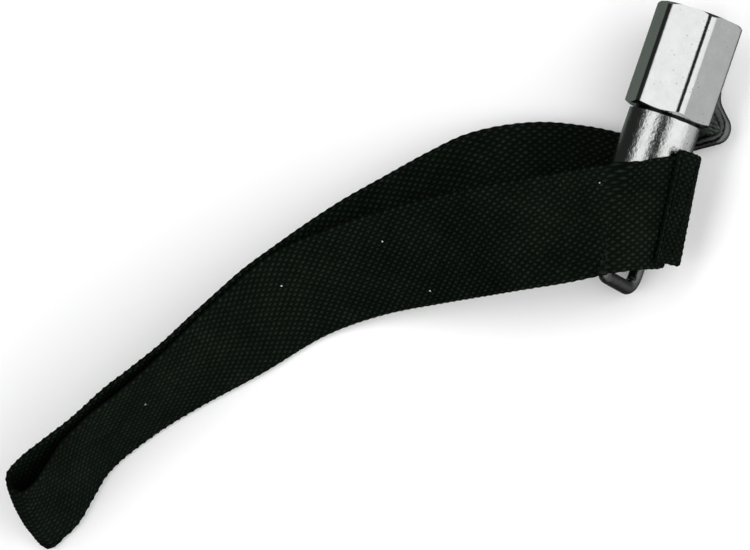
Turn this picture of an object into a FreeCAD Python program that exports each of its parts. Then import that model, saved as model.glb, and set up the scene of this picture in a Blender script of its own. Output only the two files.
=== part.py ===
import FreeCAD, Part
import math
import os

V = FreeCAD.Vector

# Oil filter strap wrench, millimetres.
# The tool lies on a flat surface (z = 0).  The axis of the steel shaft is
# parallel to Y, the drive hex points to +Y and the strap runs off to -X.
# Every piece is built about the shoulder between hex and shaft, which then
# moves to (SHOULDER_X, SHOULDER_Y) so that the origin is on the table under
# the middle of the whole tool.

# ---- driving dimensions -------------------------------------------------
AXIS_Z = 18.4          # height of the shaft axis above the table
SHOULDER_X = 69.9
SHOULDER_Y = 72.2
HEX_AF = 24.0          # hex across flats, takes a 24 mm spanner
HEX_LEN = 31.6
HEX_TURN = 7.0         # turn of the uppermost flat about the shaft axis, degrees
HEX_EDGE_R = 3.0       # rounding of the six long edges
HEX_TOP_CHAMFER = 1.3
HEX_LOW_CHAMFER = 1.1
DRIVE_SQ = 12.9        # square socket for a 1/2 inch drive
DRIVE_DEPTH = 19.0
DRIVE_MOUTH = 0.9      # chamfer round the mouth of the socket
DETENT_DIA = 4.2
DETENT_AT = 8.0        # detent dimples, distance from the mouth

SHAFT_DIA = 22.0
SHAFT_LEN = 43.0
SHAFT_CHAMFER = 1.5
COLLAR_DIA = 19.4      # relief turned just under the hex
COLLAR_LEN = 0.8

ROD_DIA = 4.2          # round steel keeper rod
ROD_R = 15.8           # distance of the straight leg from the shaft axis
ROD_LEG_TURN = 176.4   # direction of the leg about the axis, 0 = up, 90 = +X
ROD_END_R = 6.0        # where the rod comes back up against the shaft end
ROD_ARM_Y = -50.9
ROD_SHOULDER_Y = -6.4

STRAP_W = 32.0         # webbing width
STRAP_T = 1.6          # webbing thickness
STITCH_W = 0.7
STITCH_H = 0.35
STITCH_LEN = 27.0
LOWER_RISE = 0.9       # the lower ply stands this much higher where doubled
FLEX_GAP = 1.3         # clearance across each flexing line of the webbing
SPANS = 3              # ruled faces between two strap stations


def polar(turn, radius, y):
    a = math.radians(turn)
    return V(radius * math.sin(a), y, AXIS_Z + radius * math.cos(a))


def around(turn, r_top, r_low, y_top, span, slant=0.0):
    """Strap station on the shaft: top edge point and full width vector.
    The lower edge may lie further round the shaft by a slant in degrees."""
    top = polar(turn, r_top, y_top)
    low = polar(turn + slant, r_low, y_top - span)
    return (top, low - top)


def station(x, y, z, wx, wy, wz):
    """Strap station in the open: top edge point and full width vector."""
    w = V(wx, wy, wz)
    w.normalize()
    return (V(x, y, z + AXIS_Z), w * STRAP_W)


# The strap is one endless band.  It is listed from its sewn inner end beside
# the shaft, over the shaft and along the upper ply to the far end.
UPPER = [
    around(86, 12.25, 12.25, -10.4, 34.0),
    around(66, 12.25, 12.25, -10.8, 34.8),
    around(46, 12.25, 12.25, -12.2, 35.2),
    around(22, 12.3, 12.3, -14.6, 35.4),
    around(0, 12.4, 12.4, -17.0, 35.0),
    station(-7.6, -20.6, 13.8, 0.34, -0.93, -0.06),
    station(-19.9, -27.2, 16.4, 0.40, -0.90, -0.17),
    station(-38.9, -36.4, 17.3, 0.47, -0.84, -0.27),
    station(-53.5, -43.3, 14.6, 0.50, -0.77, -0.40),
    station(-67.5, -50.5, 11.5, 0.50, -0.69, -0.52),
    station(-85.2, -61.0, 8.0, 0.48, -0.59, -0.65),
    station(-101.1, -73.3, 6.2, 0.46, -0.53, -0.71),
    station(-111.7, -91.6, 9.8, 0.33, -0.45, -0.83),
    station(-121.0, -111.0, 12.9, 0.11, -0.34, -0.93),
    station(-130.2, -126.5, 13.5, 0.03, -0.26, -0.965),
    station(-138.9, -138.9, 13.3, 0.02, -0.31, -0.95),
    station(-143.1, -146.6, 13.0, 0.09, -0.36, -0.93),
    station(-145.3, -154.3, 12.8, 0.10, -0.37, -0.925),
    station(-147.2, -160.6, 12.9, 0.06, -0.335, -0.94),
    station(-150.2, -164.0, 12.9, 0.09, -0.34, -0.935),
    station(-154.0, -163.4, 12.8, 0.135, -0.37, -0.925),
    station(-156.2, -160.0, 12.9, 0.135, -0.37, -0.925),
]

# Round the far end and back.
FAR_RETURN = [
    station(-154.3, -155.0, 13.0, 0.11, -0.36, -0.925),
    station(-149.9, -148.8, 13.4, 0.09, -0.35, -0.93),
    station(-143.3, -139.9, 13.5, 0.06, -0.33, -0.94),
]

# Where the two plies lie together: station of the upper ply and the distance
# between the middles of the plies.
DOUBLED = [
    (14.0, 3.7),
    (13.5, 3.1),
    (13.0, 2.5),
    (12.5, 2.2),
    (12.0, 2.0),
    (11.5, 1.95),
    (11.0, 2.0),
]

# Lower ply back to the shaft, under it and round its side, to the cut end
# that is sewn on top of the upper ply.
LOWER_RETURN = [
    station(-95.3, -62.5, 5.0, 0.48, -0.55, -0.66),
    station(-86.9, -52.0, 3.6, 0.48, -0.62, -0.60),
    station(-78.5, -42.3, 1.2, 0.46, -0.70, -0.53),
    station(-68.3, -30.5, -2.1, 0.42, -0.79, -0.43),
    station(-60.8, -22.5, -5.2, 0.35, -0.86, -0.35),
    station(-51.0, -16.0, -8.2, 0.25, -0.93, -0.26),
    station(-40.5, -11.5, -10.4, 0.15, -0.96, -0.19),
    station(-29.8, -9.1, -11.7, 0.08, -0.98, -0.12),
    station(-16.0, -7.7, -12.3, 0.02, -1.0, -0.02),
    around(182, 12.3, 12.3, -8.3, 32.0),
    around(166, 12.3, 12.3, -8.5, 32.0),
    around(150, 12.3, 12.9, -8.6, 32.0),
    around(132, 12.6, 16.0, -8.7, 32.0),
    around(112, 13.1, 17.6, -8.8, 32.0),
    around(93, 13.8, 15.5, -8.7, 32.7, 2.0),
    around(70, 14.25, 14.35, -9.0, 33.2, 13.0),
    around(49, 14.4, 14.4, -9.5, 33.2, 22.0),
]

FLEX_NEAR = 11.5       # flexing line near the middle of the strap
FLEX_FAR = 13.5        # flexing line near the far end


def tangents(points):
    steps = [(points[i + 1] - points[i]).Length for i in range(len(points) - 1)]
    out = []
    for i in range(len(points)):
        if i == 0:
            out.append((points[1] - points[0]) * (1.0 / steps[0]))
        elif i == len(points) - 1:
            out.append((points[i] - points[i - 1]) * (1.0 / steps[-1]))
        else:
            before = (points[i] - points[i - 1]) * (steps[i] / steps[i - 1])
            after = (points[i + 1] - points[i]) * (steps[i - 1] / steps[i])
            out.append((before + after) * (1.0 / (steps[i] + steps[i - 1])))
    return out, steps


def hermite(points, slopes, steps, i, t):
    h = steps[i]
    a = points[i] * (2 * t ** 3 - 3 * t ** 2 + 1)
    b = slopes[i] * (h * (t ** 3 - 2 * t ** 2 + t))
    c = points[i + 1] * (-2 * t ** 3 + 3 * t ** 2)
    d = slopes[i + 1] * (h * (t ** 3 - t ** 2))
    return a + b + c + d


class Ribbon:
    """Centre line and width direction of the webbing through its stations."""

    def __init__(self, stations):
        self.mid = []
        self.edge = []
        self.half = []
        for top, wide in stations:
            w = V(wide)
            self.mid.append(top + w * 0.5)
            self.half.append(w.Length / 2)
            w.normalize()
            self.edge.append(w)
        self.slopes, self.steps = tangents(self.mid)
        self.turns = self.edge_slopes()

    def edge_slopes(self):
        out = []
        last = len(self.edge) - 1
        for i in range(last + 1):
            lo = max(i - 1, 0)
            hi = min(i + 1, last)
            run = sum(self.steps[lo:hi])
            out.append((self.edge[hi] - self.edge[lo]) * (1.0 / run))
        return out

    def at(self, u):
        """Centre, unit width vector and unit face normal at station number u."""
        i = min(int(u), len(self.mid) - 2)
        t = u - i
        centre = hermite(self.mid, self.slopes, self.steps, i, t)
        wide = hermite(self.edge, self.turns, self.steps, i, t)
        wide.normalize()
        eps = 0.01
        if t > 0.5:
            ahead = centre - hermite(self.mid, self.slopes, self.steps, i, t - eps)
        else:
            ahead = hermite(self.mid, self.slopes, self.steps, i, t + eps) - centre
        normal = ahead.cross(wide)
        normal.normalize()
        return centre, wide, normal

    def section(self, u, part, low, high):
        """Rectangle over a part of the width, between two face offsets."""
        centre, wide, normal = self.at(u)
        i = min(int(u), len(self.mid) - 2)
        reach = part * (self.half[i] + (self.half[i + 1] - self.half[i]) * (u - i))
        a = centre - wide * reach + normal * low
        b = centre + wide * reach + normal * low
        c = centre + wide * reach + normal * high
        d = centre - wide * reach + normal * high
        return Part.makePolygon([a, b, c, d, a])

    def solid(self, u0, u1):
        """Closed piece of webbing between two station numbers."""
        count = max(2, int(round((u1 - u0) * SPANS)))
        wires = []
        for k in range(count + 1):
            u = u0 + (u1 - u0) * k / count
            wires.append(self.section(u, 1.0, -STRAP_T / 2, STRAP_T / 2))
        return Part.makeLoft(wires, True, True)

    def shift(self, u, distance):
        """Station number reached after a small distance along the strap."""
        i = min(int(u), len(self.mid) - 2)
        return u + distance / self.steps[i]


def behind(ribbon, u, distance):
    """Station of the lower ply lying against the upper ply."""
    centre, wide, normal = ribbon.at(u)
    top = centre - normal * distance - wide * (STRAP_W / 2 + LOWER_RISE)
    return (top, wide * STRAP_W)


def whole_strap():
    upper = Ribbon(UPPER)
    doubled = [behind(upper, u, gap) for u, gap in DOUBLED]
    return Ribbon(UPPER + FAR_RETURN + doubled + LOWER_RETURN)


def along_axis(solid_):
    """Turn a solid built on +Z into the shaft axis direction +Y."""
    solid_.rotate(V(0, 0, 0), V(1, 0, 0), -90)
    solid_.translate(V(0, 0, AXIS_Z))
    return solid_


def make_hex():
    corner = HEX_AF / math.sqrt(3.0)
    points = []
    for k in range(7):
        a = math.radians(60 * k + 30)
        points.append(V(corner * math.sin(a), corner * math.cos(a), 0))
    body = Part.Face(Part.makePolygon(points)).extrude(V(0, 0, HEX_LEN))
    upright = [e for e in body.Edges if abs(e.tangentAt(e.FirstParameter).z) > 0.9]
    body = body.makeFillet(HEX_EDGE_R, upright)
    low_r = HEX_AF / 2 - 0.4
    high_r = HEX_AF / 2 + 0.4
    slope_low = HEX_LOW_CHAMFER
    profile = [
        V(0, 0, 0),
        V(low_r, 0, 0),
        V(corner + 0.1, 0, slope_low),
        V(corner + 0.1, 0, HEX_LEN - HEX_TOP_CHAMFER),
        V(high_r, 0, HEX_LEN),
        V(0, 0, HEX_LEN),
        V(0, 0, 0),
    ]
    turned = Part.Face(Part.makePolygon(profile)).revolve(V(0, 0, 0), V(0, 0, 1), 360)
    body = body.common(Part.Solid(turned))
    return body


def square_at(side, z):
    h = side / 2
    return Part.makePolygon([V(-h, -h, z), V(h, -h, z), V(h, h, z), V(-h, h, z), V(-h, -h, z)])


def make_drive_socket():
    bottom = HEX_LEN - DRIVE_DEPTH
    hole = Part.makeBox(DRIVE_SQ, DRIVE_SQ, DRIVE_DEPTH + 1, V(-DRIVE_SQ / 2, -DRIVE_SQ / 2, bottom))
    wide = DRIVE_SQ + 2 * DRIVE_MOUTH
    mouth = Part.makeLoft([square_at(DRIVE_SQ, HEX_LEN - DRIVE_MOUTH), square_at(wide, HEX_LEN)], True, True)
    cap = Part.makeBox(wide, wide, 1, V(-wide / 2, -wide / 2, HEX_LEN))
    tool = hole.fuse(mouth).fuse(cap)
    for k in range(4):
        ball = Part.makeSphere(DETENT_DIA / 2, V(DRIVE_SQ / 2 + 0.7, 0, HEX_LEN - DETENT_AT))
        ball.rotate(V(0, 0, 0), V(0, 0, 1), 90 * k)
        tool = tool.fuse(ball)
    return tool


def drive_hex():
    body = make_hex().cut(make_drive_socket())
    body.rotate(V(0, 0, 0), V(0, 0, 1), 180.0 + HEX_TURN)
    return along_axis(body)


def shaft():
    r = SHAFT_DIA / 2
    c = SHAFT_CHAMFER
    profile = [
        V(0, 0, 0),
        V(COLLAR_DIA / 2, 0, 0),
        V(COLLAR_DIA / 2, 0, -COLLAR_LEN),
        V(r, 0, -COLLAR_LEN - 0.2),
        V(r, 0, -SHAFT_LEN + c),
        V(r - c, 0, -SHAFT_LEN),
        V(0, 0, -SHAFT_LEN),
        V(0, 0, 0),
    ]
    turned = Part.Face(Part.makePolygon(profile)).revolve(V(0, 0, 0), V(0, 0, 1), 360)
    return along_axis(Part.Solid(turned))


def bent_wire(points, radii):
    """Straight runs joined by arcs, one bend radius for each inner point."""
    edges = []
    last = points[0]
    for i in range(1, len(points) - 1):
        into = points[i] - points[i - 1]
        away = points[i + 1] - points[i]
        into.normalize()
        away.normalize()
        turn = into.getAngle(away)
        reach = radii[i - 1] * math.tan(turn / 2)
        begin = points[i] - into * reach
        end = points[i] + away * reach
        inward = away - into
        inward.normalize()
        centre = points[i] + inward * (radii[i - 1] / math.cos(turn / 2))
        middle = centre - inward * radii[i - 1]
        edges.append(Part.makeLine(last, begin))
        edges.append(Part.Arc(begin, middle, end).toShape())
        last = end
    edges.append(Part.makeLine(last, points[-1]))
    return Part.Wire(edges)


def round_bar(points, radii, dia):
    spine = bent_wire(points, radii)
    heading = points[1] - points[0]
    ring = Part.Wire(Part.makeCircle(dia / 2, points[0], heading))
    return spine.makePipeShell([ring], True, False)


def keeper_rod():
    leg = ROD_LEG_TURN
    opposite = leg - 180.0
    points = [
        polar(158, 15.65, 14.0),
        polar(149.2, 15.35, 8.6),
        polar(127.6, 20.0, 1.2),
        polar(leg, ROD_R, ROD_SHOULDER_Y),
        polar(leg, ROD_R, ROD_ARM_Y),
        polar(opposite, ROD_END_R, ROD_ARM_Y),
        polar(opposite, ROD_END_R, -SHAFT_LEN),
    ]
    return round_bar(points, [9.0, 2.7, 4.0, 4.2, 3.4], ROD_DIA)


def weld_upper(rod, hexagon, bar):
    """Bead between the rod and the flank of the hex, run out into a web that
    fills the shoulder of the rod."""
    points = [polar(157, 13.5, 13.0), polar(154, 13.6, 10.8), polar(150, 13.7, 8.4)]
    bead = round_bar(points, [12.0], 5.6)
    inner = polar(151, 13.2, 9.0)
    outer = polar(128, 18.9, 1.1)
    under = polar(169, 15.4, -4.6)
    across = (outer - inner).cross(under - inner)
    across.normalize()
    corners = [inner, outer, under, inner]
    flat = Part.Face(Part.makePolygon([p - across * 1.3 for p in corners]))
    web = flat.extrude(across * 2.6)
    return biggest(bead.fuse(web).cut(rod).cut(hexagon).cut(bar))


def weld_lower(rod):
    """Bead round the foot of the rod on the end face of the shaft."""
    foot = polar(ROD_LEG_TURN - 180.0, ROD_END_R, -SHAFT_LEN)
    bead = Part.makeCone(3.9, 2.3, 2.2, foot, V(0, -1, 0))
    return biggest(bead.cut(rod))


def biggest(shape):
    solids = sorted(shape.Solids, key=lambda s: s.Volume)
    return solids[-1]


def stitch_row(ribbon, u):
    """One row of stitching standing proud of the outer face of the strap."""
    low = STRAP_T / 2 + 0.05
    step = ribbon.shift(u, STITCH_W) - u
    wires = []
    for k in range(2):
        wires.append(ribbon.section(u + step * k, STITCH_LEN / STRAP_W, low, low + STITCH_H))
    return Part.makeLoft(wires, True, True)


def save(name, shape):
    placed = shape.copy()
    placed.translate(V(SHOULDER_X, SHOULDER_Y, 0))
    placed.exportStep("parts/" + name + ".step")


def main():
    os.makedirs("parts", exist_ok=True)
    strap = whole_strap()
    far = len(UPPER) - 1
    doubled = far + len(FAR_RETURN) + 1
    far_back = doubled + [u for u, gap in DOUBLED].index(FLEX_FAR)
    near_back = doubled + [u for u, gap in DOUBLED].index(FLEX_NEAR)
    under = doubled + len(DOUBLED) + 9
    last = len(strap.mid) - 1

    hexagon = drive_hex()
    rod = keeper_rod()
    bar = shaft()
    save("drive_hex", hexagon)
    save("shaft", bar)
    save("keeper_rod", rod)
    save("keeper_weld_upper", weld_upper(rod, hexagon, bar))
    save("keeper_weld_lower", weld_lower(rod))

    half = FLEX_GAP / 2
    cuts = [FLEX_NEAR, FLEX_FAR, far_back, near_back]
    before = [strap.shift(u, -half) for u in cuts]
    after = [strap.shift(u, half) for u in cuts]
    save("strap_upper_ply", strap.solid(0, before[0]))
    save("strap_middle_upper", strap.solid(after[0], before[1]))
    save("strap_end_upper", strap.solid(after[1], far))
    save("strap_end_lower", strap.solid(far, before[2]))
    save("strap_middle_lower", strap.solid(after[2], before[3]))
    save("strap_lower_ply", strap.solid(after[3], under))
    save("strap_wrap", strap.solid(under, last))
    rows = [0.14, 0.40, 0.84]
    for k in range(len(rows)):
        save("seam_stitch_row_%d" % (k + 1), stitch_row(strap, last - rows[k]))


main()
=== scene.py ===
import math

import bpy
import numpy as np
from mathutils import Matrix, Vector


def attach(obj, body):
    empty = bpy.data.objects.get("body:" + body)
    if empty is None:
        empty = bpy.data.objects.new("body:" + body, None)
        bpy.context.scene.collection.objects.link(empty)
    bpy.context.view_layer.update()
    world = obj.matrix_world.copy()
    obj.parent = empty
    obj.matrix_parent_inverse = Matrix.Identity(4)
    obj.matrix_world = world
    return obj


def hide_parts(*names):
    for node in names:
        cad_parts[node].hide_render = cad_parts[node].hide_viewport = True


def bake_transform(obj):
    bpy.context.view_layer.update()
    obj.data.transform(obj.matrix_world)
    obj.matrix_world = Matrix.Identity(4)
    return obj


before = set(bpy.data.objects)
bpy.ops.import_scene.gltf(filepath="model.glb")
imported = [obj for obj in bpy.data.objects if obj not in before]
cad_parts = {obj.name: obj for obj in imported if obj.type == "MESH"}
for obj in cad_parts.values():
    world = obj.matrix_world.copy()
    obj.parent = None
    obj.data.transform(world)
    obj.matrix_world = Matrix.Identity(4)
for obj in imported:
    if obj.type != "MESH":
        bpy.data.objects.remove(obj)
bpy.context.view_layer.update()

# Oil filter strap wrench.  The webbing is woven here in full from the same
# stations as the CAD band, the sewing, sealed ends and lint are added to it,
# and the steel keeps its CAD shapes with plated surfaces.  Lengths of the band
# are in millimetres, and all else is in metres unless it says otherwise.

MM = 1000.0            # millimetres in a metre
AXIS_Z = 18.4          # height of the shaft axis
SHOULDER = np.array([69.9, 72.2, 0.0])   # below the point where the shaft meets the hexagon
STRAP_W = 32.0         # width of the webbing
LOWER_RISE = 0.9       # the lower ply stands this much higher where doubled

# The view, almost from above.
CAMERA_RIGHT = Vector((0.887, 0.324, -0.331))
CAMERA_BACK = Vector((0.374, -0.08, 0.924))
CAMERA_DISTANCE = 5.0
SENSOR = 36.0               # width of the sensor, mm
FRAME_WIDTH = 0.2206        # seen across the frame at the object
SHOULDER_RIGHT = 0.08565    # place of the shoulder from the middle of the frame
SHOULDER_UP = 0.04688

LIT_MIDDLE = Vector((0.03, 0.02, 0.02))    # the lights face this point
FLOOR_HALF = 3.0

# Brightness of the surround by degrees about the shaft, 0 up and 90 to +X.
SURROUND = [
    (-180, 0.03), (-155, 0.06), (-140, 0.13), (-124, 0.11), (-112, 0.02),
    (-44, 0.02), (-30, 0.96), (-2, 1.0), (4, 0.02), (36, 0.02), (42, 0.98),
    (100, 0.94), (107, 0.50), (140, 0.44), (160, 0.06), (178, 0.03),
]
SURROUND_POWER = 1.45
OLIVE_SIDE = -46            # the surround is olive below this angle


# ---- camera and light ----------------------------------------------------
WHITE = (1.0, 1.0, 1.0)
GREENISH = (0.64, 1.0, 0.66)
OLIVE = (0.88, 1.0, 0.90)


def grey(level, tint=WHITE):
    return (level * tint[0], level * tint[1], level * tint[2], 1.0)


def make_camera():
    back = CAMERA_BACK.normalized()
    up = back.cross(CAMERA_RIGHT.normalized()).normalized()
    right = up.cross(back).normalized()
    shoulder = Vector((SHOULDER[0] / MM, SHOULDER[1] / MM, AXIS_Z / MM))
    target = shoulder - right * SHOULDER_RIGHT - up * SHOULDER_UP
    data = bpy.data.cameras.new("camera")
    data.sensor_width = SENSOR
    data.lens = SENSOR * CAMERA_DISTANCE / FRAME_WIDTH
    data.clip_start = 0.1
    data.clip_end = 20.0
    data.dof.use_dof = False
    cam = bpy.data.objects.new("camera", data)
    turn = Matrix((right, up, back)).transposed()
    cam.matrix_world = Matrix.Translation(target + back * CAMERA_DISTANCE) @ turn.to_4x4()
    bpy.context.scene.collection.objects.link(cam)
    bpy.context.scene.camera = cam


def softbox(name, turn, lift, distance, size, power):
    """Soft light at an angle about the shaft, lifted along it. The steel
    mirrors the surround and not the lights."""
    a = math.radians(turn)
    b = math.radians(lift)
    away = Vector((math.sin(a) * math.cos(b), math.sin(b), math.cos(a) * math.cos(b)))
    data = bpy.data.lights.new(name, "AREA")
    data.shape = "RECTANGLE"
    data.size = size[0]
    data.size_y = size[1]
    data.energy = power
    light = bpy.data.objects.new(name, data)
    side = Vector((0.0, 1.0, 0.0)).cross(away).normalized()
    top = away.cross(side).normalized()
    pose = Matrix((side, top, away)).transposed().to_4x4()
    light.matrix_world = Matrix.Translation(LIT_MIDDLE + away * distance) @ pose
    light.visible_camera = False
    light.visible_glossy = False
    bpy.context.scene.collection.objects.link(light)


def make_world():
    """Studio surround that changes with the angle about the shaft: dark on the
    left, bright above, a dark gap, then bright on the right."""
    world = bpy.data.worlds.new("studio")
    bpy.context.scene.world = world
    world.use_nodes = True
    nodes = world.node_tree.nodes
    links = world.node_tree.links
    place = nodes.new("ShaderNodeTexCoord")
    split = nodes.new("ShaderNodeSeparateXYZ")
    turn = nodes.new("ShaderNodeMath")
    turn.operation = "ARCTAN2"
    share = nodes.new("ShaderNodeMapRange")
    share.inputs["From Min"].default_value = -math.pi
    share.inputs["From Max"].default_value = math.pi
    ramp = nodes.new("ShaderNodeValToRGB")
    stops = ramp.color_ramp.elements
    stops.remove(stops[1])
    stops[0].position = 0.0
    stops[0].color = grey(SURROUND[0][1])
    for at, level in SURROUND[1:]:
        tint = (0.86, 1.0, 0.88) if at < OLIVE_SIDE else WHITE
        stops.new((at + 180) / 360).color = grey(level, tint)
    back = nodes["Background"]
    back.inputs["Strength"].default_value = SURROUND_POWER
    links.new(place.outputs["Generated"], split.inputs["Vector"])
    links.new(split.outputs["X"], turn.inputs[0])
    links.new(split.outputs["Z"], turn.inputs[1])
    links.new(turn.outputs["Value"], share.inputs["Value"])
    links.new(share.outputs["Result"], ramp.inputs["Fac"])
    links.new(ramp.outputs["Color"], back.inputs["Color"])


def make_floor():
    """Plain pale floor, left out of what the steel mirrors."""
    mesh = bpy.data.meshes.new("floor")
    r = FLOOR_HALF
    mesh.from_pydata([(-r, -r, 0), (r, -r, 0), (r, r, 0), (-r, r, 0)], [], [(0, 1, 2, 3)])
    floor = bpy.data.objects.new("floor", mesh)
    floor.visible_glossy = False
    bpy.context.scene.collection.objects.link(floor)
    mat = bpy.data.materials.new("pale_floor")
    mat.use_nodes = True
    bsdf = mat.node_tree.nodes["Principled BSDF"]
    bsdf.inputs["Base Color"].default_value = grey(0.93)
    bsdf.inputs["Roughness"].default_value = 0.9
    bsdf.inputs["Specular IOR Level"].default_value = 0.1
    mesh.materials.append(mat)


# ---- material helpers ----------------------------------------------------
class Shader:
    """A principled material whose nodes are added one by one."""

    def __init__(self, name):
        self.mat = bpy.data.materials.new(name)
        self.mat.use_nodes = True
        self.tree = self.mat.node_tree
        self.bsdf = self.tree.nodes["Principled BSDF"]

    def set(self, socket, value):
        self.bsdf.inputs[socket].default_value = value

    def add(self, kind, **values):
        node = self.tree.nodes.new(kind)
        for key, value in values.items():
            setattr(node, key, value)
        return node

    def link(self, a, out, b, into):
        self.tree.links.new(a.outputs[out], b.inputs[into])

    def drive(self, node, out, socket):
        self.tree.links.new(node.outputs[out], self.bsdf.inputs[socket])

    def scaled(self, place, out, scale):
        mapping = self.add("ShaderNodeMapping")
        mapping.inputs["Scale"].default_value = scale
        self.link(place, out, mapping, "Vector")
        return mapping

    def coords(self, scale=(1.0, 1.0, 1.0)):
        return self.scaled(self.add("ShaderNodeTexCoord"), "Object", scale)

    def weave_coords(self, scale):
        return self.scaled(self.add("ShaderNodeUVMap", uv_map="yarns"), "UV", scale)

    def noise(self, where, scale, detail, rough):
        node = self.add("ShaderNodeTexNoise")
        node.inputs["Scale"].default_value = scale
        node.inputs["Detail"].default_value = detail
        node.inputs["Roughness"].default_value = rough
        self.link(where, "Vector", node, "Vector")
        return node

    def ramp(self, source, out, stops):
        node = self.add("ShaderNodeValToRGB")
        ramp = node.color_ramp
        ramp.elements[0].position = stops[0][0]
        ramp.elements[0].color = stops[0][1]
        ramp.elements[1].position = stops[-1][0]
        ramp.elements[1].color = stops[-1][1]
        for at, colour in stops[1:-1]:
            ramp.elements.new(at).color = colour
        self.link(source, out, node, "Fac")
        return node

    def span(self, source, out, low, high, to_low, to_high):
        node = self.add("ShaderNodeMapRange")
        node.inputs["From Min"].default_value = low
        node.inputs["From Max"].default_value = high
        node.inputs["To Min"].default_value = to_low
        node.inputs["To Max"].default_value = to_high
        self.link(source, out, node, "Value")
        return node

    def mix(self, factor, factor_out, a, a_out, b, b_out, blend="MIX"):
        node = self.add("ShaderNodeMix", data_type="RGBA", blend_type=blend)
        if factor is None:
            node.inputs[0].default_value = factor_out
        else:
            self.tree.links.new(factor.outputs[factor_out], node.inputs[0])
        for value, out, slot in ((a, a_out, 6), (b, b_out, 7)):
            if out is None:
                node.inputs[slot].default_value = value
            else:
                self.tree.links.new(value.outputs[out], node.inputs[slot])
        return node

    def math(self, kind, a, a_out, b, b_out=None):
        node = self.add("ShaderNodeMath", operation=kind)
        self.tree.links.new(a.outputs[a_out], node.inputs[0])
        if b_out is None:
            node.inputs[1].default_value = b
        else:
            self.tree.links.new(b.outputs[b_out], node.inputs[1])
        return node

    def bump(self, source, out, strength, distance, before=None):
        node = self.add("ShaderNodeBump")
        node.inputs["Strength"].default_value = strength
        node.inputs["Distance"].default_value = distance
        self.link(source, out, node, "Height")
        if before is not None:
            self.link(before, "Normal", node, "Normal")
        return node


def webbing_material():
    """Dyed-black woven yarns: painted highlights on the crowns, painted shade in the gaps, fine
    fibres, a little lint.
    """
    s = Shader("webbing_yarn")
    crown = s.add("ShaderNodeAttribute", attribute_name="crown")
    base = s.ramp(crown, "Fac", [
        (0.0, grey(0.0022, GREENISH)),
        (0.25, grey(0.0038, GREENISH)),
        (0.55, grey(0.0090, GREENISH)),
        (1.0, grey(0.0190, GREENISH)),
    ])
    obj = s.coords()
    patch = s.noise(obj, 70.0, 3.0, 0.55)
    fade = s.span(patch, "Fac", 0.3, 0.7, 0.70, 1.25)
    toned = s.mix(None, 1.0, base, "Color", fade, "Result", "MULTIPLY")
    yarns = s.weave_coords((9.0, 46.0, 1.0))
    fibre = s.noise(yarns, 26.0, 4.0, 0.6)
    hair = s.span(fibre, "Fac", 0.3, 0.7, 0.72, 1.28)
    haired = s.mix(None, 1.0, toned, "Result", hair, "Result", "MULTIPLY")
    lint_at = s.coords((110.0, 110.0, 110.0))
    lint = s.add("ShaderNodeTexVoronoi", feature="F1")
    lint.inputs["Scale"].default_value = 1.0
    s.link(lint_at, "Vector", lint, "Vector")
    near = s.math("LESS_THAN", lint, "Distance", 0.035)
    chosen = s.add("ShaderNodeSeparateColor")
    s.link(lint, "Color", chosen, "Color")
    few = s.math("GREATER_THAN", chosen, "Red", 0.55)
    speck = s.math("MULTIPLY", near, "Value", few, "Value")
    final = s.mix(speck, "Value", haired, "Result", grey(0.35), None)
    s.drive(final, "Result", "Base Color")
    rough = s.span(fibre, "Fac", 0.3, 0.7, 0.62, 0.82)
    s.drive(rough, "Result", "Roughness")
    s.set("Specular IOR Level", 0.015)
    b = s.bump(fibre, "Fac", 0.55, 0.00012)
    s.drive(b, "Normal", "Normal")
    return s.mat


def thread_material():
    """Bonded black sewing thread."""
    s = Shader("sewing_thread")
    obj = s.coords()
    n = s.noise(obj, 3200.0, 3.0, 0.6)
    base = s.ramp(n, "Fac", [(0.3, grey(0.0016, GREENISH)), (0.7, grey(0.006, GREENISH))])
    s.drive(base, "Color", "Base Color")
    rough = s.span(n, "Fac", 0.3, 0.7, 0.45, 0.7)
    s.drive(rough, "Result", "Roughness")
    s.set("Specular IOR Level", 0.04)
    b = s.bump(n, "Fac", 0.6, 0.00008)
    s.drive(b, "Normal", "Normal")
    return s.mat


def seal_material():
    """Melted edge of the cut webbing."""
    s = Shader("sealed_edge")
    obj = s.coords()
    n = s.noise(obj, 1500.0, 4.0, 0.6)
    base = s.ramp(n, "Fac", [(0.3, grey(0.001, GREENISH)), (0.7, grey(0.006, GREENISH))])
    s.drive(base, "Color", "Base Color")
    rough = s.span(n, "Fac", 0.35, 0.65, 0.35, 0.65)
    s.drive(rough, "Result", "Roughness")
    s.set("Specular IOR Level", 0.06)
    b = s.bump(n, "Fac", 0.7, 0.00015)
    s.drive(b, "Normal", "Normal")
    return s.mat


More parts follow.
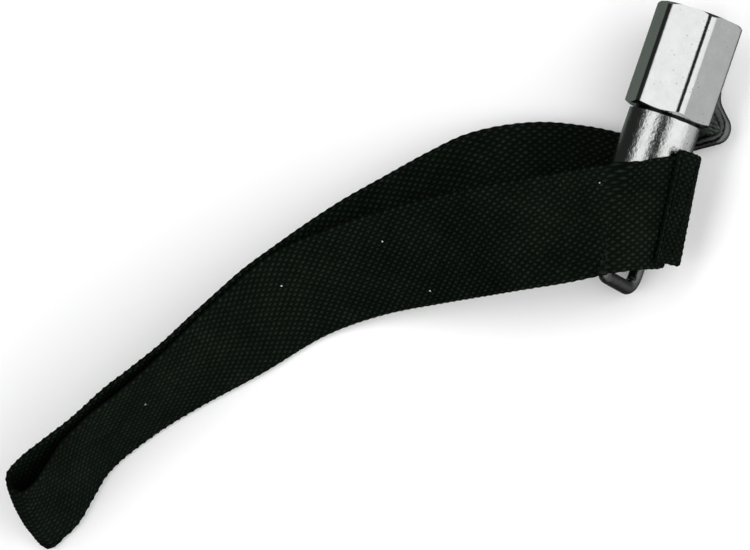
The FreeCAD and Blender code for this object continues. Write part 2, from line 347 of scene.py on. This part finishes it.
def plated_steel(name, level, rough_low, rough_high, grain, relief, spots, groove_shade=None):
    """Plated steel: soft clouding, orange peel and scattered dark pits. Painted shade for a groove,
    if asked, fades in between two places along Y and covers all that lies beyond them."""
    s = Shader(name)
    obj = s.coords()
    cloud = s.noise(obj, 240.0, 4.0, 0.6)
    base = s.ramp(cloud, "Fac", [
        (0.30, grey(level * 0.90, (0.97, 1.0, 0.98))),
        (0.70, grey(level, (0.99, 1.0, 1.0))),
    ])
    pits = s.add("ShaderNodeTexVoronoi", feature="F1")
    pits.inputs["Scale"].default_value = spots
    s.link(obj, "Vector", pits, "Vector")
    near = s.span(pits, "Distance", 0.08, 0.20, 1.0, 0.0)
    chosen = s.add("ShaderNodeSeparateColor")
    s.link(pits, "Color", chosen, "Color")
    few = s.math("GREATER_THAN", chosen, "Green", 0.80)
    pit = s.math("MULTIPLY", near, "Result", few, "Value")
    shade = s.mix(pit, "Value", base, "Color", grey(level * 0.35), None)
    # painted shade: from the given places along Y on, the colour turns dark olive to stand in for the
    # shade in the groove under the hexagon
    if groove_shade is not None:
        place = s.add("ShaderNodeSeparateXYZ")
        s.link(obj, "Vector", place, "Vector")
        wobble = s.span(cloud, "Fac", 0.3, 0.7, -0.0002, 0.0002)
        along = s.math("ADD", place, "Y", wobble, "Result")
        painted_shade = s.span(along, "Value", groove_shade[0], groove_shade[1], 0.0, 1.0)
        shade = s.mix(painted_shade, "Result", shade, "Result", grey(0.012, OLIVE), None)
    s.drive(shade, "Result", "Base Color")
    s.set("Metallic", 1.0)
    peel = s.noise(obj, grain, 4.0, 0.62)
    rough = s.span(peel, "Fac", 0.3, 0.7, rough_low, rough_high)
    s.drive(rough, "Result", "Roughness")
    first = s.bump(peel, "Fac", relief, 0.00030)
    second = s.bump(pit, "Value", -0.5, 0.00020, first)
    s.drive(second, "Normal", "Normal")
    return s.mat


def weld_material():
    """Plated weld bead: rippled and duller than the bar."""
    s = Shader("weld_bead")
    obj = s.coords()
    cloud = s.noise(obj, 500.0, 4.0, 0.6)
    base = s.ramp(cloud, "Fac", [(0.3, grey(0.12, OLIVE)), (0.7, grey(0.30, OLIVE))])
    s.drive(base, "Color", "Base Color")
    s.set("Metallic", 1.0)
    rough = s.span(cloud, "Fac", 0.3, 0.7, 0.24, 0.5)
    s.drive(rough, "Result", "Roughness")
    ripple = s.add("ShaderNodeTexWave", wave_type="BANDS", bands_direction="Y")
    ripple.inputs["Scale"].default_value = 260.0
    ripple.inputs["Distortion"].default_value = 3.0
    s.link(obj, "Vector", ripple, "Vector")
    first = s.bump(ripple, "Fac", 0.5, 0.0004)
    second = s.bump(cloud, "Fac", 0.5, 0.0003, first)
    s.drive(second, "Normal", "Normal")
    return s.mat


# ---- the band ------------------------------------------------------------
def polar(turn, radius, y):
    """Point at an angle about the shaft axis, 0 up and 90 to +X, y along it."""
    a = math.radians(turn)
    return np.array([radius * math.sin(a), y, AXIS_Z + radius * math.cos(a)])


def around(turn, r_top, r_low, y_top, span, slant=0.0):
    """Station of the band on the shaft: one edge, and the way to the other."""
    top = polar(turn, r_top, y_top)
    low = polar(turn + slant, r_low, y_top - span)
    return (top, low - top)


def station(x, y, z, wx, wy, wz):
    """Station of the band off the shaft: one edge, and the way to the other."""
    w = np.array([wx, wy, wz])
    w /= np.linalg.norm(w)
    return (np.array([x, y, z + AXIS_Z]), w * STRAP_W)


# The upper ply, from the start of the band on the shaft to the far fold.
UPPER = [
    around(86, 12.25, 12.25, -10.4, 34.0),
    around(66, 12.25, 12.25, -10.8, 34.8),
    around(46, 12.25, 12.25, -12.2, 35.2),
    around(22, 12.3, 12.3, -14.6, 35.4),
    around(0, 12.4, 12.4, -17.0, 35.0),
    station(-7.6, -20.6, 13.8, 0.34, -0.93, -0.06),
    station(-19.9, -27.2, 16.4, 0.40, -0.90, -0.17),
    station(-38.9, -36.4, 17.3, 0.47, -0.84, -0.27),
    station(-53.5, -43.3, 14.6, 0.50, -0.77, -0.40),
    station(-67.5, -50.5, 11.5, 0.50, -0.69, -0.52),
    station(-85.2, -61.0, 8.0, 0.48, -0.59, -0.65),
    station(-101.1, -73.3, 6.2, 0.46, -0.53, -0.71),
    station(-111.7, -91.6, 9.8, 0.33, -0.45, -0.83),
    station(-121.0, -111.0, 12.9, 0.11, -0.34, -0.93),
    station(-130.2, -126.5, 13.5, 0.03, -0.26, -0.965),
    station(-138.9, -138.9, 13.3, 0.02, -0.31, -0.95),
    station(-143.1, -146.6, 13.0, 0.09, -0.36, -0.93),
    station(-145.3, -154.3, 12.8, 0.10, -0.37, -0.925),
    station(-147.2, -160.6, 12.9, 0.06, -0.335, -0.94),
    station(-150.2, -164.0, 12.9, 0.09, -0.34, -0.935),
    station(-154.0, -163.4, 12.8, 0.135, -0.37, -0.925),
    station(-156.2, -160.0, 12.9, 0.135, -0.37, -0.925),
]

# Back from the far fold until the plies lie on each other.
FAR_RETURN = [
    station(-154.3, -155.0, 13.0, 0.11, -0.36, -0.925),
    station(-149.9, -148.8, 13.4, 0.09, -0.35, -0.93),
    station(-143.3, -139.9, 13.5, 0.06, -0.33, -0.94),
]

# The lower ply under the upper: station of the upper ply, and the gap.
DOUBLED = [(14.0, 3.7), (13.5, 3.1), (13.0, 2.5), (12.5, 2.2), (12.0, 2.0), (11.5, 1.95), (11.0, 2.0)]

# The lower ply to the shaft, and round it to the outer end of the band.
LOWER_RETURN = [
    station(-95.3, -62.5, 5.0, 0.48, -0.55, -0.66),
    station(-86.9, -52.0, 3.6, 0.48, -0.62, -0.60),
    station(-78.5, -42.3, 1.2, 0.46, -0.70, -0.53),
    station(-68.3, -30.5, -2.1, 0.42, -0.79, -0.43),
    station(-60.8, -22.5, -5.2, 0.35, -0.86, -0.35),
    station(-51.0, -16.0, -8.2, 0.25, -0.93, -0.26),
    station(-40.5, -11.5, -10.4, 0.15, -0.96, -0.19),
    station(-29.8, -9.1, -11.7, 0.08, -0.98, -0.12),
    station(-16.0, -7.7, -12.3, 0.02, -1.0, -0.02),
    around(182, 12.3, 12.3, -8.3, 32.0),
    around(166, 12.3, 12.3, -8.5, 32.0),
    around(150, 12.3, 12.9, -8.6, 32.0),
    around(132, 12.6, 16.0, -8.7, 32.0),
    around(112, 13.1, 17.6, -8.8, 32.0),
    around(93, 13.8, 15.5, -8.7, 32.7, 2.0),
    around(70, 14.25, 14.35, -9.0, 33.2, 13.0),
    around(49, 14.4, 14.4, -9.5, 33.2, 22.0),
]

FOLD_AT = 20.0         # station in the middle of the far fold
FOLD_WAY = np.array([-0.62, -0.76, 0.19])
FOLD_BELLY = 1.5       # the fold bows out this far between its edges
FOLD_REACH = 8.0       # and about this far along the band
LEAN_REACH = 9.0       # the rows settle to the lean of the band over this length
FLEX_NEAR = 11.5       # station of the near flexing line
FLEX_MIDDLE = 12.5     # the woven pieces meet here
FLEX_FAR = 13.5        # station of the far flexing line


class Ribbon:
    """Middle line and width direction of the webbing through its stations."""

    def __init__(self, stations):
        wide = np.array([w for top, w in stations])
        tops = np.array([top for top, w in stations])
        full = np.linalg.norm(wide, axis=1)
        self.mid = tops + wide * 0.5
        self.half = full / 2
        self.edge = wide / full[:, None]
        p = self.mid
        h = np.linalg.norm(np.diff(p, axis=0), axis=1)
        self.steps = h
        slopes = np.zeros_like(p)
        slopes[0] = (p[1] - p[0]) / h[0]
        slopes[-1] = (p[-1] - p[-2]) / h[-1]
        before = (p[1:-1] - p[:-2]) * (h[1:] / h[:-1])[:, None]
        after = (p[2:] - p[1:-1]) * (h[:-1] / h[1:])[:, None]
        slopes[1:-1] = (before + after) / (h[1:] + h[:-1])[:, None]
        self.slopes = slopes
        turns = np.zeros_like(p)
        n = len(p)
        for i in range(n):
            lo = max(i - 1, 0)
            hi = min(i + 1, n - 1)
            turns[i] = (self.edge[hi] - self.edge[lo]) / h[lo:hi].sum()
        self.turns = turns

    def _blend(self, values, slopes, i, t):
        h = self.steps[i][:, None]
        t = t[:, None]
        a = values[i] * (2 * t ** 3 - 3 * t ** 2 + 1)
        b = slopes[i] * (h * (t ** 3 - 2 * t ** 2 + t))
        c = values[i + 1] * (-2 * t ** 3 + 3 * t ** 2)
        d = slopes[i + 1] * (h * (t ** 3 - t ** 2))
        return a + b + c + d

    def at(self, u):
        u = np.atleast_1d(np.asarray(u, float))
        i = np.clip(u.astype(int), 0, len(self.mid) - 2)
        t = u - i
        centre = self._blend(self.mid, self.slopes, i, t)
        wide = self._blend(self.edge, self.turns, i, t)
        wide /= np.linalg.norm(wide, axis=1)[:, None]
        step = np.where(t > 0.5, -0.01, 0.01)
        other = self._blend(self.mid, self.slopes, i, t + step)
        ahead = (other - centre) * np.sign(step)[:, None]
        ahead /= np.linalg.norm(ahead, axis=1)[:, None]
        normal = np.cross(ahead, wide)
        normal /= np.linalg.norm(normal, axis=1)[:, None]
        half = self.half[i] + (self.half[i + 1] - self.half[i]) * t
        return centre, wide, normal, ahead, half


def whole_band():
    upper = Ribbon(UPPER)
    doubled = []
    for u, gap in DOUBLED:
        centre, wide, normal = (x[0] for x in upper.at(u)[:3])
        top = centre - normal * gap - wide * (STRAP_W / 2 + LOWER_RISE)
        doubled.append((top, wide * STRAP_W))
    return Ribbon(UPPER + FAR_RETURN + doubled + LOWER_RETURN)


class Band:
    """The band as a table along its length, in millimetres."""

    def __init__(self):
        self.ribbon = whole_band()
        self.last = len(self.ribbon.mid) - 1
        self.u = np.arange(-40, self.last * 50 + 26) / 50.0
        parts = self.ribbon.at(self.u)
        self.centre, self.wide, self.normal, self.ahead, self.half = parts
        run = np.linalg.norm(np.diff(self.centre, axis=0), axis=1)
        self.s = np.concatenate([[0.0], np.cumsum(run)])
        lean = (self.ahead * self.wide).sum(axis=1)
        self.lean = self.smooth(lean, LEAN_REACH)

    def smooth(self, values, reach):
        """Running average along the band, weighted over a reach in millimetres."""
        even = np.arange(self.s[0], self.s[-1], 0.5)
        kernel = np.exp(-0.5 * (np.arange(-3 * reach, 3 * reach + 0.1, 0.5) / reach) ** 2)
        level = np.interp(even, self.s, values)
        pad = len(kernel) // 2
        wide = np.pad(level, pad, mode="edge")
        return np.interp(self.s, even, np.convolve(wide, kernel / kernel.sum(), "valid"))

    def length_at(self, u):
        return float(np.interp(u, self.u, self.s))

    def stations_of(self, s, part):
        """Station numbers where the yarn at each part of the width has length s."""
        u = np.empty_like(s)
        for k in range(s.shape[1]):
            along = self.s + self.lean * self.half * part[:, k].mean()
            u[:, k] = np.interp(s[:, k], along, self.u)
        return u

    def look(self, table, u):
        return np.stack([np.interp(u, self.u, table[:, k]) for k in range(3)], axis=-1)

    def point(self, s, part, rise):
        """Points at lengths s, parts of the width and rises above the middle.
        All three are tables whose columns lie along the band."""
        u = self.stations_of(s, part)
        centre = self.look(self.centre, u)
        wide = self.look(self.wide, u)
        normal = self.look(self.normal, u)
        half = np.interp(u, self.u, self.half)
        centre = centre + FOLD_WAY * self.fold_belly(u, part)[..., None]
        return centre + wide * (half * part)[..., None] + normal * rise[..., None] + SHOULDER

    def fold_belly(self, u, part):
        """The folded far end bows out between its two edges."""
        near = (np.interp(u, self.u, self.s) - self.length_at(FOLD_AT)) / FOLD_REACH
        return FOLD_BELLY * (1 - np.clip(part, -1, 1) ** 2) * np.exp(-(near ** 2))

    def line(self, s, part, rise):
        """Points of a line across the band, in metres."""
        rows = [np.asarray(x, float)[None, :] for x in (s, part, rise)]
        return self.point(*rows)[0] / MM


BAND = Band()
FAR = len(UPPER) - 1
DOUBLE_AT = FAR + len(FAR_RETURN) + 1
FAR_BACK = DOUBLE_AT + [u for u, gap in DOUBLED].index(FLEX_FAR)
MIDDLE_BACK = DOUBLE_AT + [u for u, gap in DOUBLED].index(FLEX_MIDDLE)
NEAR_BACK = DOUBLE_AT + [u for u, gap in DOUBLED].index(FLEX_NEAR)

PICK = 1.3             # distance between two weft rows, mm
ENDS = 31              # warp yarns across the webbing
ROW = PICK / 3         # mesh rows
HALF_T = 0.64          # middle of the yarns to the middle of the webbing
CROWN = 0.12           # a warp yarn rises and dips this much
GROOVE = 0.05          # half the depth between two warp yarns
RIB = 0.07             # half the depth between two rows
WANDER = 0.03          # slow unevenness of the surface
SELVAGE = 0.9          # the webbing thins over this width at its edges
SCALLOP = 0.005        # the edges swing in and out by this share
EDGE_PART = 0.93       # the edge begins at this part of the half width
RIM_LIGHT = 0.35       # how much the rims catch the light


def mesh_object(name, verts, faces):
    mesh = bpy.data.meshes.new(name)
    mesh.from_pydata([tuple(v) for v in verts], [], faces)
    mesh.update()
    mesh.polygons.foreach_set("use_smooth", [True] * len(mesh.polygons))
    obj = bpy.data.objects.new(name, mesh)
    bpy.context.scene.collection.objects.link(obj)
    return obj


def across():
    """Parts of the width at the mesh lines, with each one's yarn and place in it."""
    parts = []
    yarn = []
    place = []
    for j in range(ENDS):
        for q in (0.0, 1 / 3, 2 / 3):
            parts.append(2 * (j + q) / ENDS - 1)
            yarn.append(j)
            place.append(q)
    parts.append(1.0)
    yarn.append(ENDS - 1)
    place.append(1.0)
    return np.array(parts), np.array(yarn), np.array(place)


def weave_rises(s, parts, phase, belly):
    """Rises of the front and the back face from the middle of the webbing."""
    edge = np.clip((1 - np.abs(parts)) * STRAP_W / 2 / SELVAGE, 0, 1)[None, :]
    thick = HALF_T * (0.45 + 0.55 * np.sqrt(1 - (1 - edge) ** 2))
    wander = WANDER * np.sin(s * 0.83)[:, None] * np.sin(parts * 23.0)[None, :]
    wave = np.cos(2 * math.pi * s / PICK)[:, None]
    weft = GROOVE * wave * (1 - belly)
    rib = RIB * (wave - 1)
    front = thick + rib + CROWN * phase * belly - GROOVE * (1 - belly) + wander + weft
    back = thick + rib - CROWN * phase * belly - GROOVE * (1 - belly) - wander + weft
    return front, back


def ring_points(s, parts, front, back):
    """Points round the webbing at each length: front, rim, back and rim."""
    swing = np.cos(math.pi * s / PICK)[:, None]
    spread = parts[None, :] * (1 + SCALLOP * swing * (np.abs(parts) > EDGE_PART))
    grid = np.repeat(s[:, None], len(parts), axis=1)
    top = BAND.point(grid, spread, front)
    low = BAND.point(grid, spread, -back)
    swell = 1.012 + 0.006 * swing
    level = np.zeros_like(swell)
    rim_high = BAND.point(s[:, None], swell, level)
    rim_low = BAND.point(s[:, None], -swell, level)
    return np.concatenate([top, rim_high, low[:, ::-1], rim_low], axis=1)


def crown_light(s, yarn, phase, belly):
    """Painted light for each point, as if it caught the light: most on the tops of the yarns, and a
    little more or less from one crossing to the next as random tone."""
    row_light = 0.15 + 0.85 * np.abs(np.cos(math.pi * s / PICK))[:, None] ** 0.6
    bow = 0.30 + 0.70 * belly
    shade = np.random.default_rng(7).uniform(0.72, 1.12, (len(s) // 3 + 2, ENDS))
    shade = shade[np.round(s / PICK - s[0] / PICK).astype(int)][:, yarn]
    front = row_light * (0.30 + 0.70 * np.clip(phase, 0, 1) ** 0.5) * bow * shade
    back = row_light * (0.30 + 0.70 * np.clip(-phase, 0, 1) ** 0.5) * bow * shade
    rim = np.full((len(s), 1), RIM_LIGHT)
    return np.concatenate([front, rim, back[:, ::-1], rim], axis=1)


def ring_faces(rows, face):
    """Faces round the webbing, and those that close its two ends."""
    count = 2 * face + 2
    a = np.arange(rows - 1)[:, None] * count + np.arange(count)[None, :]
    b = np.arange(rows - 1)[:, None] * count + (np.arange(count)[None, :] + 1) % count
    quads = np.stack([a, b, b + count, a + count], axis=-1).reshape(-1, 4)
    caps = []
    for base, flip in ((0, False), ((rows - 1) * count, True)):
        for k in range(face - 1):
            strip = [base + k, base + 2 * face - k, base + 2 * face - 1 - k, base + k + 1]
            caps.append(strip if not flip else strip[::-1])
        high = [base + face - 1, base + face + 1, base + face]
        low = [base, base + 2 * face + 1, base + 2 * face]
        for tri in (high, low):
            caps.append(tri if not flip else tri[::-1])
    return quads.tolist(), caps


def store_yarns(mesh, s, parts, crown):
    """Keeps the light of the crowns and the place along and across the yarns."""
    light = mesh.attributes.new("crown", "FLOAT", "POINT")
    light.data.foreach_set("value", crown.reshape(-1).astype(np.float32))
    across_at = np.concatenate([parts, [1.0], parts[::-1], [-1.0]]) * STRAP_W / 2
    flat = np.zeros((crown.size, 2), np.float32)
    flat[:, 0] = np.repeat(s, len(across_at)) / 10.0
    flat[:, 1] = np.tile(across_at, len(s)) / 10.0
    loops = np.zeros(len(mesh.loops), np.int32)
    mesh.loops.foreach_get("vertex_index", loops)
    layer = mesh.uv_layers.new(name="yarns")
    layer.data.foreach_set("uv", flat[loops].reshape(-1))


def woven(name, s_from, s_to, mat, nodes):
    """Closed mesh of the webbing between two lengths, woven on both faces."""
    parts, yarn, place = across()
    s = np.arange(int(round(s_from / ROW)), int(round(s_to / ROW)) + 1) * ROW
    phase = np.cos(math.pi * (s[:, None] / PICK + yarn[None, :]))
    belly = np.sqrt(np.clip(1 - (2 * place - 1) ** 2, 0, 1))[None, :]
    front, back = weave_rises(s, parts, phase, belly)
    ring = ring_points(s, parts, front, back)
    quads, caps = ring_faces(len(s), len(parts))
    obj = mesh_object(name, ring.reshape(-1, 3) / MM, quads + caps)
    mesh = obj.data
    store_yarns(mesh, s, parts, crown_light(s, yarn, phase, belly))
    soft = np.zeros(len(mesh.polygons), bool)
    soft[: len(quads)] = True
    mesh.polygons.foreach_set("use_smooth", soft)
    mesh.materials.append(mat)
    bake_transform(obj)
    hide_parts(*nodes)
    return obj


def flex(u, back):
    """Middle between the plies and the way the strap runs at a flexing line."""
    front = BAND.look(BAND.centre, np.array([u]))[0]
    rear = BAND.look(BAND.centre, np.array([float(back)]))[0]
    ahead = BAND.look(BAND.ahead, np.array([u]))[0]
    ahead /= np.linalg.norm(ahead)
    return ((front + rear) / 2 + SHOULDER) / MM, ahead


def make_webbing(mat):
    near, near_way = flex(FLEX_NEAR, NEAR_BACK)
    far, far_way = flex(FLEX_FAR, FAR_BACK)
    begin = BAND.length_at(0.0)
    stop = BAND.length_at(BAND.last)
    middle = BAND.length_at(FLEX_MIDDLE)
    middle_back = BAND.length_at(MIDDLE_BACK)
    upper = woven("webbing_upper", begin, middle,
                  mat, ["strap_upper_ply", "strap_middle_upper"])
    loop = woven("webbing_far_loop", middle, middle_back,
                 mat, ["strap_end_upper", "strap_end_lower"])
    lower = woven("webbing_lower", middle_back, stop,
                  mat, ["strap_lower_ply", "strap_middle_lower", "strap_wrap"])
    return begin, stop


# ---- sewing --------------------------------------------------------------
STITCH_PITCH = 2.7
STITCH_GAP = 0.5               # from the end of a stitch to the start of the next
STITCHES = 10                  # in each row
THREAD_R = 0.00021             # radius of the thread, metres
ROWS_BACK = (1.3, 3.4, 7.6)    # the sewn rows, from the cut end of the band


def tube(path, radius):
    """Closed tube along points, with drawn-in ends."""
    sides = 8
    path = np.asarray(path)
    ahead = np.gradient(path, axis=0)
    ahead /= np.linalg.norm(ahead, axis=1)[:, None]
    aside = [0.13, 0.31, 0.94]    # a direction that no thread runs in
    side = np.cross(ahead, aside)
    side /= np.linalg.norm(side, axis=1)[:, None]
    up = np.cross(ahead, side)
    verts = []
    for k in range(len(path)):
        size = radius * (0.6 if k in (0, len(path) - 1) else 1.0)
        for m in range(sides):
            a = 2 * math.pi * m / sides
            verts.append(path[k] + size * (math.cos(a) * side[k] + math.sin(a) * up[k]))
    faces = []
    for k in range(len(path) - 1):
        for m in range(sides):
            n = (m + 1) % sides
            faces.append([k * sides + m, (k + 1) * sides + m, (k + 1) * sides + n, k * sides + n])
    faces.append(list(range(sides)))
    faces.append([(len(path) - 1) * sides + m for m in reversed(range(sides))])
    return verts, faces


def stitch_row(name, s, node, mat):
    """Lock stitches across the webbing, each sinking in at both ends."""
    verts = []
    faces = []
    for k in range(STITCHES):
        begin = (k - STITCHES / 2) * STITCH_PITCH + STITCH_GAP / 2
        end = begin + STITCH_PITCH - STITCH_GAP
        along = np.linspace(0, 1, 7)
        v = begin + (end - begin) * along
        lift = HALF_T - 0.02 + 0.26 * np.sin(math.pi * along) ** 0.6
        lean = 0.12 * math.sin(k * 2.4)
        points = BAND.line(s + lean + 0.05 * along, v / (STRAP_W / 2), lift)
        more, loops = tube(points, THREAD_R)
        faces += [[i + len(verts) for i in f] for f in loops]
        verts += more
    obj = mesh_object(name, verts, faces)
    obj.data.materials.append(mat)
    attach(obj, "strap_near")
    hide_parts(node)


def sealed_end(name, s, way, mat):
    """The melted bead along a cut end of the webbing."""
    v = np.linspace(-15.9, 15.9, 90)
    sides = 12
    verts = []
    for k in range(len(v)):
        size = 0.50 + 0.06 * math.sin(v[k] * 2.9) + 0.04 * math.sin(v[k] * 7.3 + 1.0)
        if k in (0, len(v) - 1):
            size *= 0.5
        a = 2 * math.pi * np.arange(sides) / sides
        out = s + way * 0.1 + 0.45 * size * np.cos(a) + 0.07 * math.sin(v[k] * 1.7)
        verts += list(BAND.line(out, np.full(sides, v[k] / (STRAP_W / 2)), 1.30 * size * np.sin(a)))
    faces = []
    for k in range(len(v) - 1):
        for m in range(sides):
            n = (m + 1) % sides
            faces.append([k * sides + m, k * sides + n, (k + 1) * sides + n, (k + 1) * sides + m])
    faces.append(list(reversed(range(sides))))
    faces.append([(len(v) - 1) * sides + m for m in range(sides)])
    obj = mesh_object(name, verts, faces)
    obj.data.materials.append(mat)
    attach(obj, "strap_near")


# ---- steel ---------------------------------------------------------------
def dress(node, mat, bevel=0.0):
    """Gives a CAD part its material and, if asked, softly broken edges."""
    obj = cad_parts[node]
    obj.data.materials.clear()
    obj.data.materials.append(mat)
    if bevel:
        soft = obj.modifiers.new("edges", "BEVEL")
        soft.width = bevel
        soft.segments = 3
        soft.limit_method = "ANGLE"
        soft.angle_limit = math.radians(28)


make_camera()
make_world()
make_floor()
softbox("key", 40.0, 12.0, 1.1, (0.8, 1.0), 5.5)
softbox("fill", -22.0, -14.0, 1.2, (1.2, 1.4), 4.5)
softbox("side", 66.0, -24.0, 1.2, (1.2, 1.2), 4.0)

YARN = webbing_material()
THREAD = thread_material()
SEAL = seal_material()
BEGIN, STOP = make_webbing(YARN)
sealed_end("sealed_end_outer", STOP - 0.1, -1.0, SEAL)
sealed_end("sealed_end_inner", BEGIN + 0.6, 1.0, SEAL)
for number, from_end in enumerate(ROWS_BACK, 1):
    stitch_row("stitches_%d" % number, STOP - from_end, "seam_stitch_row_%d" % number, THREAD)

HEX_PLATE = plated_steel("hex_plate", 0.60, 0.06, 0.12, 1500.0, 0.12, 900.0)
# painted shade in the groove where the shaft meets the hexagon, given as places along Y
SHAFT_GROOVE_SHADE = (0.0711, 0.0714)
SHAFT_PLATE = plated_steel("shaft_plate", 0.60, 0.05, 0.12, 900.0, 0.6, 500.0, SHAFT_GROOVE_SHADE)
# painted shade: the keeper rod's plated steel gets a far darker colour than the hexagon and shaft,
# standing in for the shade it sits in
ROD_PLATE = plated_steel("rod_plate", 0.11, 0.14, 0.30, 900.0, 0.35, 500.0)
dress("drive_hex", HEX_PLATE, 0.0003)
dress("shaft", SHAFT_PLATE, 0.0002)
dress("keeper_rod", ROD_PLATE)
dress("keeper_weld_upper", weld_material())
dress("keeper_weld_lower", weld_material())

bpy.context.scene.view_settings.view_transform = "Standard"
